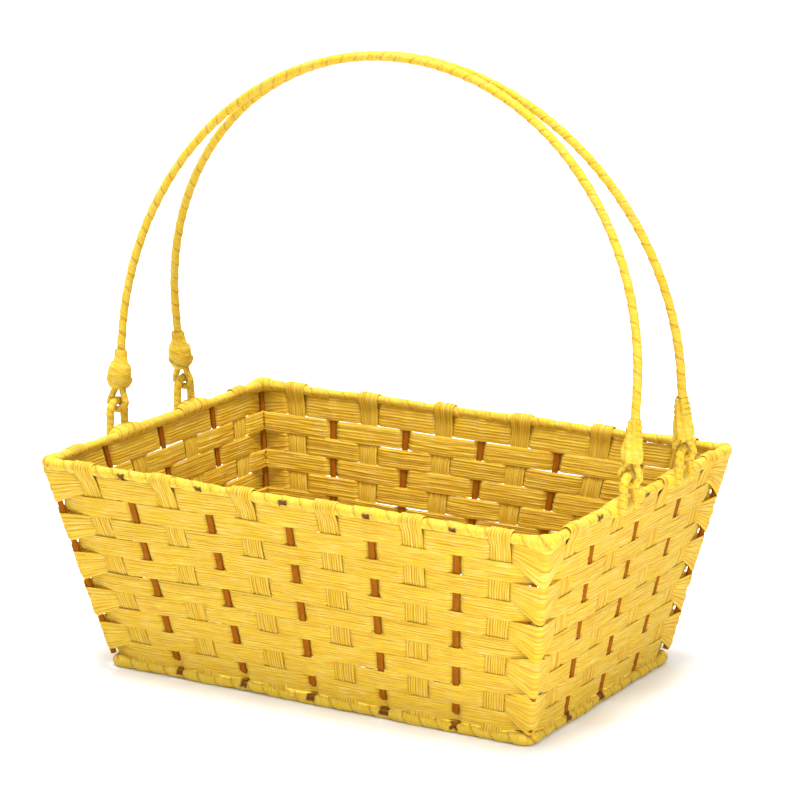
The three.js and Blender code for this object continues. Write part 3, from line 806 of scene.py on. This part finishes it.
def wound_ring(name, node, level, seed, radius, pit_share, drop, swelling, notch):
    """Paper wound on a ring of the frame, rolled thicker at the corners, with pits by the
    wires where the wrap parts, painted as shade over the wire's brown. notch is their angle round the
    winding, in degrees."""
    rng = np.random.default_rng(seed)
    loop = WallLoop(level, 1.0 * MM, 4 * MM)
    size = 28
    place, span = loop.place, loop.length
    centres = loop.points(np.full((len(place), 1), level))[:, 0]
    centres += loop.normal * wander(rng, place, 24 * MM, 0.3 * MM, span)[:, None]
    centres[:, 2] += wander(rng, place, 28 * MM, 0.4 * MM, span) - drop
    pitch = span / round(span / (10.5 * MM))
    lap, seam_shade = winding(rng, place, size, pitch, 0.5 * MM, 0.14 * MM)
    swell = wander(rng, place, 14 * MM, 0.34 * MM, span)[:, None]
    uneven = dents(rng, place, size, 8 * MM, 0.12 * MM, (2, 3, 5), span)
    rolled = loop.near_corner(12 * MM)[:, None] * swelling
    reach = radius - 0.25 * MM + lap + swell + uneven + rolled
    pit_shade = np.zeros_like(reach)
    turn = turns(size)
    bend = np.abs((turn - math.radians(notch) + math.pi) % (2 * math.pi) - math.pi) * radius
    for mark, kind, _, _ in loop.crossings:
        if kind != "wire" or rng.uniform() > pit_share:
            continue
        slant = np.abs(loop.gap(mark + rng.uniform(-1.5, 1.5) * MM)[:, None] - 0.5 * bend)
        tall = rng.uniform(2.8, 4.4) * MM
        pit = np.clip(1 - (slant / (rng.uniform(1.6, 2.6) * MM)) ** 2 - (bend / tall) ** 2, 0, 1)
        reach = reach - pit * 1.3 * MM
        # painted shade in the pit, over the wire's brown
        pit_shade = np.maximum(pit_shade, np.clip(pit * 3.5, 0, 1))
    up = np.array([0.0, 0.0, 1.0])
    outward = loop.normal[:, None, :] * np.cos(turn)[..., None] + up * np.sin(turn)[..., None]
    points = centres[:, None, :] + outward * reach[..., None]
    points[..., 2] = np.maximum(points[..., 2], 0.04 * MM)
    around = np.linspace(0, 2 * math.pi * radius, size + 1)
    wind(sheet(name, points, loop.along, around, True, {"painted_shade": seam_shade, "pit_shade": pit_shade}), node, "basket")


# ---- Wires ----

def swept_wire(name, path, node, pressed):
    """A wire drawn out of a circle, one step of its path after another."""
    bpy.ops.object.select_all(action="DESELECT")
    start = Vector(path[0])
    turn = (Vector(path[1]) - start).normalized().to_track_quat("Z", "Y").to_euler()
    bpy.ops.mesh.primitive_circle_add(
        vertices=12, radius=sizes().wire_radius, fill_type="NGON", location=start, rotation=turn)
    wire = bpy.context.object
    wire.name = name
    bpy.ops.object.transform_apply(location=True, rotation=True, scale=True)
    bpy.ops.object.mode_set(mode="EDIT")
    bpy.ops.mesh.select_all(action="SELECT")
    bpy.ops.transform.resize(value=pressed)
    heading = None
    for here, there in zip(path[:-1], path[1:]):
        step = Vector(there) - Vector(here)
        angle = math.atan2(step.z, step.y)
        bpy.ops.mesh.extrude_region_move(TRANSFORM_OT_translate={"value": step})
        if heading is not None and abs(angle - heading) > 0.02:
            bpy.ops.transform.rotate(value=heading - angle, orient_axis="X", orient_type="GLOBAL")
        heading = angle
    bpy.ops.mesh.select_all(action="SELECT")
    bpy.ops.mesh.remove_doubles(threshold=0.02 * MM)
    bpy.ops.mesh.normals_make_consistent(inside=False)
    bpy.ops.object.mode_set(mode="OBJECT")
    bpy.ops.object.shade_smooth_by_angle(angle=math.radians(50))
    set_on(wire, "lacquered_wire", node, "basket")


def upright_wire(name, node, x_share, y_share, gap, seed, pressed=(1.0, 1.0, 1.0)):
    """A straight wire that ends a gap from the rim and the base, a little out of true."""
    top, bottom = (np.array(level_sizes(level)) * (x_share, y_share, 1) for level in (1.0, 0.0))
    ahead = unit(bottom - top)
    top, bottom = top + ahead * gap, bottom - ahead * gap
    rng = np.random.default_rng(seed)
    place = np.linspace(0, 1, 16)
    sway = [wander(rng, place, 0.3, 0.15 * MM) for _ in range(2)]
    path = top + (bottom - top) * place[:, None] + np.column_stack([*sway, np.zeros(16)])
    swept_wire(name, path, node, pressed)


def through_wire(number):
    """A wire down the front wall, across the base and up the back wall."""
    rng = np.random.default_rng(320 + number)
    rim, base, down, wall = wall_section(1)
    side = np.concatenate([rim + down * np.linspace(2.6 * MM, wall - 8 * MM, 14)[:, None],
                           arc(base, 5.4 * MM, 150, 192, 5)])
    floor_end = base[0] - 9 * MM
    run = np.column_stack([np.linspace(-floor_end, floor_end, 16), np.full(16, floor_height())])
    path = np.concatenate([side * (-1, 1), run, side[::-1]])
    level = np.clip((path[:, 1] - base[1]) / (rim[1] - base[1]), 0, 1)
    across = (2 * (number * 2) / LONG_STEPS - 1) * level_sizes(level)[0]
    across = across + wander(rng, np.arange(len(path)) * 1.0, 9, 0.15 * MM)
    swept_wire(f"through_wire_{number}", stand(across, path, True), f"long_wire_{number}",
               (WIDE_PRESS, THIN_PRESS, THIN_PRESS))


# ---- Handles and the loops that hold them ----

def seeded(first, side, end):
    """The random numbers of one of the four places where a handle hangs."""
    return np.random.default_rng(first + 10 * (side == "back") + (end == "right"))


def rim_loop(side, end):
    """A wound loop that stands on the rim, with its feet bound to the rim."""
    rng = seeded(400, side, end)
    centre = hinge(side, end)
    foot = level_sizes(1.0)[2] - centre[2] - 2 * MM
    leg = np.array([[-ARCH - 0.6 * MM, foot], [-ARCH - 0.3 * MM, -6 * MM], [-ARCH, -2 * MM]])
    line = np.concatenate([leg, arc((0, 0), ARCH, 180, 0, 9), leg[::-1] * (-1, 1)])
    path, place = curve_through(stand(np.zeros(len(line)), line, True) + centre, 0.75 * MM)
    reach, seam_shade = fine_winding(rng, place, 18, sizes().loop_radius, 3.6 * MM, 0.3 * MM)
    piece = tube(f"{side}_{end}_loop_winding", path, reach, place, seam_shade, (1.0, 0.0, 0.0))
    wind(piece, f"{side}_{end}_loop", "basket")


def handle_lean(side):
    """The angle that a handle stands at, from its box: its top over its hinge."""
    low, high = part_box(f"{side}_handle_wire")
    _, hinge_y, hinge_z = hinge(side, "right")
    radius = 0.9 * MM
    far = high.y - radius if side == "front" else low.y + radius
    return math.atan2(far - hinge_y, high.z - radius - hinge_z)


def hoop_turn(side):
    return np.array(Matrix.Rotation(-handle_lean(side), 3, "X"))


def place_in_hoop(points, side):
    """Carries points of a handle's own upright plane to where the handle stands."""
    return points @ hoop_turn(side).T + hinge(side, "right") * (0, 1, 1)


def hoop_line(side):
    """The line of a handle in its own upright plane, from one tucked end to the other."""
    top_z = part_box(f"{side}_handle_wrap")[1].z
    right, left = hinge(side, "right"), hinge(side, "left")
    reach = (right[0] - left[0]) / 2
    top = (top_z - right[2]) / math.cos(handle_lean(side)) - sizes().handle_radius
    spring = 44.6 * MM
    strand, tuck = 2.15 * MM, 0.5 * MM
    bottom = ARCH + EYE + 2 * MM
    half = np.concatenate([
        arc((0, spring), (reach, top - spring), 88, 0, 24),
        [[reach, bottom + 18.3 * MM], [reach - strand, bottom + 10.7 * MM],
         [reach - strand, bottom + 2 * MM], [reach - strand - tuck, bottom - 1.5 * MM]],
        arc((reach, ARCH), EYE, 185, 355, 8),
        [[reach + strand + tuck, bottom - 1.5 * MM], [reach + strand, bottom + 2 * MM],
         [reach + strand, bottom + 8.5 * MM]],
    ])
    return np.concatenate([half[::-1] * (-1, 1), [[0.0, top]], half])


def handle_winding(side):
    """The paper wound along a handle, thinner round its eyes."""
    size = sizes()
    rng = np.random.default_rng(500 + (side == "back"))
    line = hoop_line(side)
    path, place = curve_through(stand(np.zeros(len(line)), line, False), 1.0 * MM)
    reach, seam_shade = fine_winding(rng, place, 20, size.handle_radius, 8.5 * MM, 0.42 * MM)
    eye, eye_seam_shade = fine_winding(rng, place, 20, size.eye_radius, 3.4 * MM, 0.26 * MM)
    thin = np.clip((25 * MM - path[:, 2]) / (4 * MM), 0, 1)[:, None]
    piece = tube(f"{side}_handle_winding", place_in_hoop(path, side), reach * (1 - thin) + eye * thin, place,
                 seam_shade * (1 - thin) + eye_seam_shade * thin, hoop_turn(side)[:, 1])
    wind(piece, f"{side}_handle_wrap", HANDLES[side])


def knot(side, end):
    """The paper bound over the tucked end of a handle's wire."""
    rng = seeded(600, side, end)
    heights, widths = np.array(KNOT_OUTLINES[end]).T * MM
    lines, size = 90, 40
    up = np.linspace(heights[0], heights[-1], lines)
    rise, turn = up[:, None], turns(size)
    if end == "left":
        phase = rise / (7.5 * MM) + turn / math.pi
        ribs = 0.2 * MM * np.sin(turn * 9 + rise / (1.6 * MM))
        wrapped = 1.0
    else:
        phase = rise / (3.1 * MM) + turn / (2 * math.pi)
        ribs = 0.4 * MM * np.sin(turn * 7 + rise / (5.0 * MM))
        wrapped = np.clip((rise - 9 * MM) / (3 * MM), 0, 1)
    share = phase - np.floor(phase)
    shell = np.interp(up, heights, widths)[:, None] + 0.9 * MM * (share - 0.5) * wrapped + ribs \
        + dents(rng, up, size, 7 * MM, 0.3 * MM, (2, 3, 4))
    seam_shade = np.clip(1 - np.abs(share - 0.97) / 0.08, 0, 1) * wrapped * 0.9
    inner = np.interp(up[::-1], heights, np.maximum(widths - 1.5 * MM, 2.8 * MM))[:, None] + 0 * turn
    height = np.concatenate([up, up[::-1]])
    radius = np.concatenate([shell, inner])
    foot, squash = 13 * MM, 0.93
    points = np.stack([hinge(side, end)[0] + radius * np.cos(turn), squash * radius * np.sin(turn),
                       (foot + height)[:, None] + 0 * turn], -1)
    piece = sheet(f"{side}_{end}_knot_winding", place_in_hoop(points, side), np.append(height, height[0]),
                  np.linspace(0, 2 * math.pi * 5.5 * MM, size + 1), True, inside_dark(seam_shade))
    wind(piece, f"{side}_{end}_knot", HANDLES[side])


def inside_dark(seam_shade):
    """Marks of a winding with an inner wall: painted shade at its seams and over the whole inner wall."""
    return {"painted_shade": np.concatenate([seam_shade, seam_shade * 0 + 0.6])}


def loop_binding(side, end):
    """Paper bound round the rim and the feet of a loop."""
    rng = seeded(700, side, end)
    sign = 1 if end == "right" else -1
    rim_x, _, rim_z = level_sizes(1.0)
    half, size, wall = 11.5 * MM, 30, 1.0 * MM
    place = np.linspace(-half, half, 36)
    closing = np.abs(place / half)[:, None] ** 3
    turn = turns(size)
    x = sign * (rim_x + 2.2 * MM * (1 - closing))
    y = hinge(side, end)[1] + place[:, None] + 0 * turn
    z = rim_z - 0.5 * MM * closing
    wide = (5.6 - 2.5 * closing) * MM
    tall = (4.2 - 1.1 * closing) * MM
    lap, seam_shade = winding(rng, place, size, 6.5 * MM, 0.4 * MM, 0.08 * MM)
    proud = lap + dents(rng, place, size, 6 * MM, 0.2 * MM, (2, 3))
    outer, inner = (np.stack([x + sign * (wide + more) * np.cos(turn), y,
                              z + (tall + more) * np.sin(turn)], -1) for more in (proud, -wall))
    piece = sheet(f"{side}_{end}_loop_binding", np.concatenate([outer, inner[::-1]]),
                  np.concatenate([place, place[::-1], place[:1]]), np.linspace(0, 34 * MM, size + 1), True,
                  inside_dark(seam_shade))
    wind(piece, None, "basket")


# ---- Stage ----

def make_floor():
    """A pale floor that rises out of sight far from the basket."""
    bpy.ops.object.select_all(action="DESELECT")
    bpy.ops.mesh.primitive_circle_add(vertices=96, radius=3.0, fill_type="NGON", location=(0, 0, 0))
    floor = bpy.context.object
    floor.name = "floor"
    bpy.ops.object.mode_set(mode="EDIT")
    bpy.ops.mesh.select_all(action="SELECT")
    bpy.ops.mesh.inset(thickness=0.2, depth=0)
    bpy.ops.mesh.select_mode(type="EDGE")
    bpy.ops.mesh.select_all(action="DESELECT")
    bpy.ops.mesh.select_non_manifold()
    for step in range(1, 10):
        bpy.ops.mesh.extrude_edges_move(TRANSFORM_OT_translate={"value": (0, 0, 0.06 * step)})
        bpy.ops.transform.resize(value=(1.12, 1.12, 1))
    bpy.ops.object.mode_set(mode="OBJECT")
    bpy.ops.object.shade_smooth()
    floor.data.materials.append(floor_finish())


def make_world():
    """A white studio that is dark toward the right rear, so that the right end is in shade."""
    world = bpy.data.worlds.new("studio")
    world.use_nodes = True
    nodes, links = world.node_tree.nodes, world.node_tree.links
    background = nodes["Background"]
    background.inputs["Strength"].default_value = 1.14
    heading = nodes.new("ShaderNodeTexCoord")
    across = nodes.new("ShaderNodeVectorMath")
    across.operation = "DOT_PRODUCT"
    across.inputs[1].default_value = (0.80, 0.60, -0.05)
    shade = nodes.new("ShaderNodeMapRange")
    for socket, value in (("From Min", 0.2), ("From Max", 0.7), ("To Min", 1.0), ("To Max", 0.05)):
        shade.inputs[socket].default_value = value
    links.new(heading.outputs["Generated"], across.inputs[0])
    links.new(across.outputs["Value"], shade.inputs["Value"])
    links.new(shade.outputs["Result"], background.inputs["Color"])
    bpy.context.scene.world = world
    bpy.context.scene.view_settings.view_transform = "Standard"


def make_lamp(name, place, width, power):
    """A square lamp that points at the middle of the basket."""
    light = bpy.data.lights.new(name, "AREA")
    light.size = width
    light.energy = power
    lamp = bpy.data.objects.new(name, light)
    lamp.location = place
    lamp.rotation_euler = (Vector((0, 0, 0.15)) - Vector(place)).to_track_quat("-Z", "Y").to_euler()
    bpy.context.scene.collection.objects.link(lamp)


def make_camera():
    azimuth, elevation, distance = math.radians(30.41), math.radians(13.60), 1.6105
    target = Vector((4.68 * MM, 2.74 * MM, level_sizes(0.0)[2] + 143.07 * MM))
    away = Vector((math.sin(azimuth) * math.cos(elevation), -math.cos(azimuth) * math.cos(elevation),
                   math.sin(elevation)))
    camera = bpy.data.cameras.new("camera")
    camera.lens = 136.2
    camera.sensor_width = 36
    view = bpy.data.objects.new("camera", camera)
    view.location = target + away * distance
    view.rotation_euler = (-away).to_track_quat("-Z", "Y").to_euler()
    bpy.context.scene.collection.objects.link(view)
    bpy.context.scene.camera = view


# ---- Operators ----

class BasketOperator(bpy.types.Operator):
    bl_options = {"REGISTER", "UNDO"}


class BASKET_OT_frame_wires(BasketOperator):
    """Lacquers the ring and handle wires and draws the wires of the walls and base"""
    bl_idname = "basket.frame_wires"
    bl_label = "Frame wires"

    def execute(self, context):
        for name in ("rim_wire", "base_wire", "front_handle_wire", "back_handle_wire"):
            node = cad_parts[name]
            node.data.materials.clear()
            node.data.materials.append(finish_for("lacquered_wire"))
        for number in range(1, LONG_STEPS // 2):
            through_wire(number)
        for sign, wall in ((1, "right"), (-1, "left")):
            for number in range(1, END_STEPS // 2):
                share = 2 * (number * 2) / END_STEPS - 1
                upright_wire(f"{wall}_upright_{number}", f"{wall}_wire_{number}", sign, sign * share,
                             2.6 * MM, 340 + number, (THIN_PRESS, WIDE_PRESS, THIN_PRESS))
        for name, x, y in CORNER_PLACES:
            upright_wire(f"{name}_post", f"corner_post_{name}", x, y, 3.4 * MM, 350 + x + 3 * y)
        return {"FINISHED"}


class BASKET_OT_weavers(BasketOperator):
    """Weaves the ten paper ribbons round the walls"""
    bl_idname = "basket.weavers"
    bl_label = "Weavers"

    def execute(self, context):
        for row in range(ROW_COUNT):
            weaver(row)
        return {"FINISHED"}


class BASKET_OT_strips(BasketOperator):
    """Lays the pleated strips up the walls and across the base"""
    bl_idname = "basket.strips"
    bl_label = "Strips"

    def execute(self, context):
        for number in range(1, LONG_STEPS // 2 + 1):
            long_strip(number)
        for number in range(1, END_STEPS // 2 + 1):
            end_strip(number)
        return {"FINISHED"}


class BASKET_OT_base_ribbons(BasketOperator):
    """Weaves the ribbons of the base"""
    bl_idname = "basket.base_ribbons"
    bl_label = "Base ribbons"

    def execute(self, context):
        for number in range(1, BASE_RIBBONS + 1):
            base_ribbon(number)
        return {"FINISHED"}


class BASKET_OT_rim(BasketOperator):
    """Winds the rim and the base ring with paper"""
    bl_idname = "basket.rim"
    bl_label = "Rim and base ring"

    def execute(self, context):
        radius = sizes().wrap_radius
        wound_ring("rim_winding", "rim_wrap", 1.0, 11, radius, 0.85, 0.5 * MM, 1.3 * MM, -42)
        wound_ring("base_winding", "base_wrap", 0.0, 12, radius + 0.3 * MM, 0.7, 0.9 * MM, 0.3 * MM, 38)
        return {"FINISHED"}


class BASKET_OT_loops(BasketOperator):
    """Stands the four wound loops on the rim and binds their feet"""
    bl_idname = "basket.loops"
    bl_label = "Rim loops"

    def execute(self, context):
        for side in HANDLES:
            for end in ("left", "right"):
                rim_loop(side, end)
                loop_binding(side, end)
        return {"FINISHED"}


class BASKET_OT_handles(BasketOperator):
    """Winds the two handles and binds their knots"""
    bl_idname = "basket.handles"
    bl_label = "Handles"

    def execute(self, context):
        for side in HANDLES:
            handle_winding(side)
            for end in ("left", "right"):
                knot(side, end)
        return {"FINISHED"}


class BASKET_OT_stage(BasketOperator):
    """Sets the floor, the lights and the camera"""
    bl_idname = "basket.stage"
    bl_label = "Stage"

    def execute(self, context):
        make_floor()
        make_world()
        make_lamp("key", (0.05, -0.05, 2.3), 0.9, 90.0)
        make_lamp("side", (0.42, -0.30, 0.20), 0.1, 0.8)
        make_camera()
        return {"FINISHED"}


OPERATORS = (
    BASKET_OT_frame_wires, BASKET_OT_weavers, BASKET_OT_strips, BASKET_OT_base_ribbons,
    BASKET_OT_rim, BASKET_OT_loops, BASKET_OT_handles, BASKET_OT_stage,
)


class BASKET_PT_panel(bpy.types.Panel):
    bl_idname = "BASKET_PT_panel"
    bl_label = "Easter Basket"
    bl_space_type = "VIEW_3D"
    bl_region_type = "UI"
    bl_category = "Easter Basket"

    def draw(self, context):
        for group in (context.scene.basket_sizes, context.scene.basket_colours):
            box = self.layout.box()
            for key in group.__annotations__:
                box.prop(group, key)
        for operator in OPERATORS:
            self.layout.operator(operator.bl_idname)


CLASSES = (BasketSizes, BasketColours, *OPERATORS, BASKET_PT_panel)


def register():
    for item in CLASSES:
        bpy.utils.register_class(item)
    bpy.types.Scene.basket_sizes = bpy.props.PointerProperty(type=BasketSizes)
    bpy.types.Scene.basket_colours = bpy.props.PointerProperty(type=BasketColours)


def unregister():
    del bpy.types.Scene.basket_colours
    del bpy.types.Scene.basket_sizes
    for item in reversed(CLASSES):
        bpy.utils.unregister_class(item)


def main():
    register()
    bpy.ops.basket.frame_wires()
    bpy.ops.basket.weavers()
    bpy.ops.basket.strips()
    bpy.ops.basket.base_ribbons()
    bpy.ops.basket.rim()
    bpy.ops.basket.loops()
    bpy.ops.basket.handles()
    bpy.ops.basket.stage()
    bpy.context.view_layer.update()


if __name__ == "__main__":
    main()
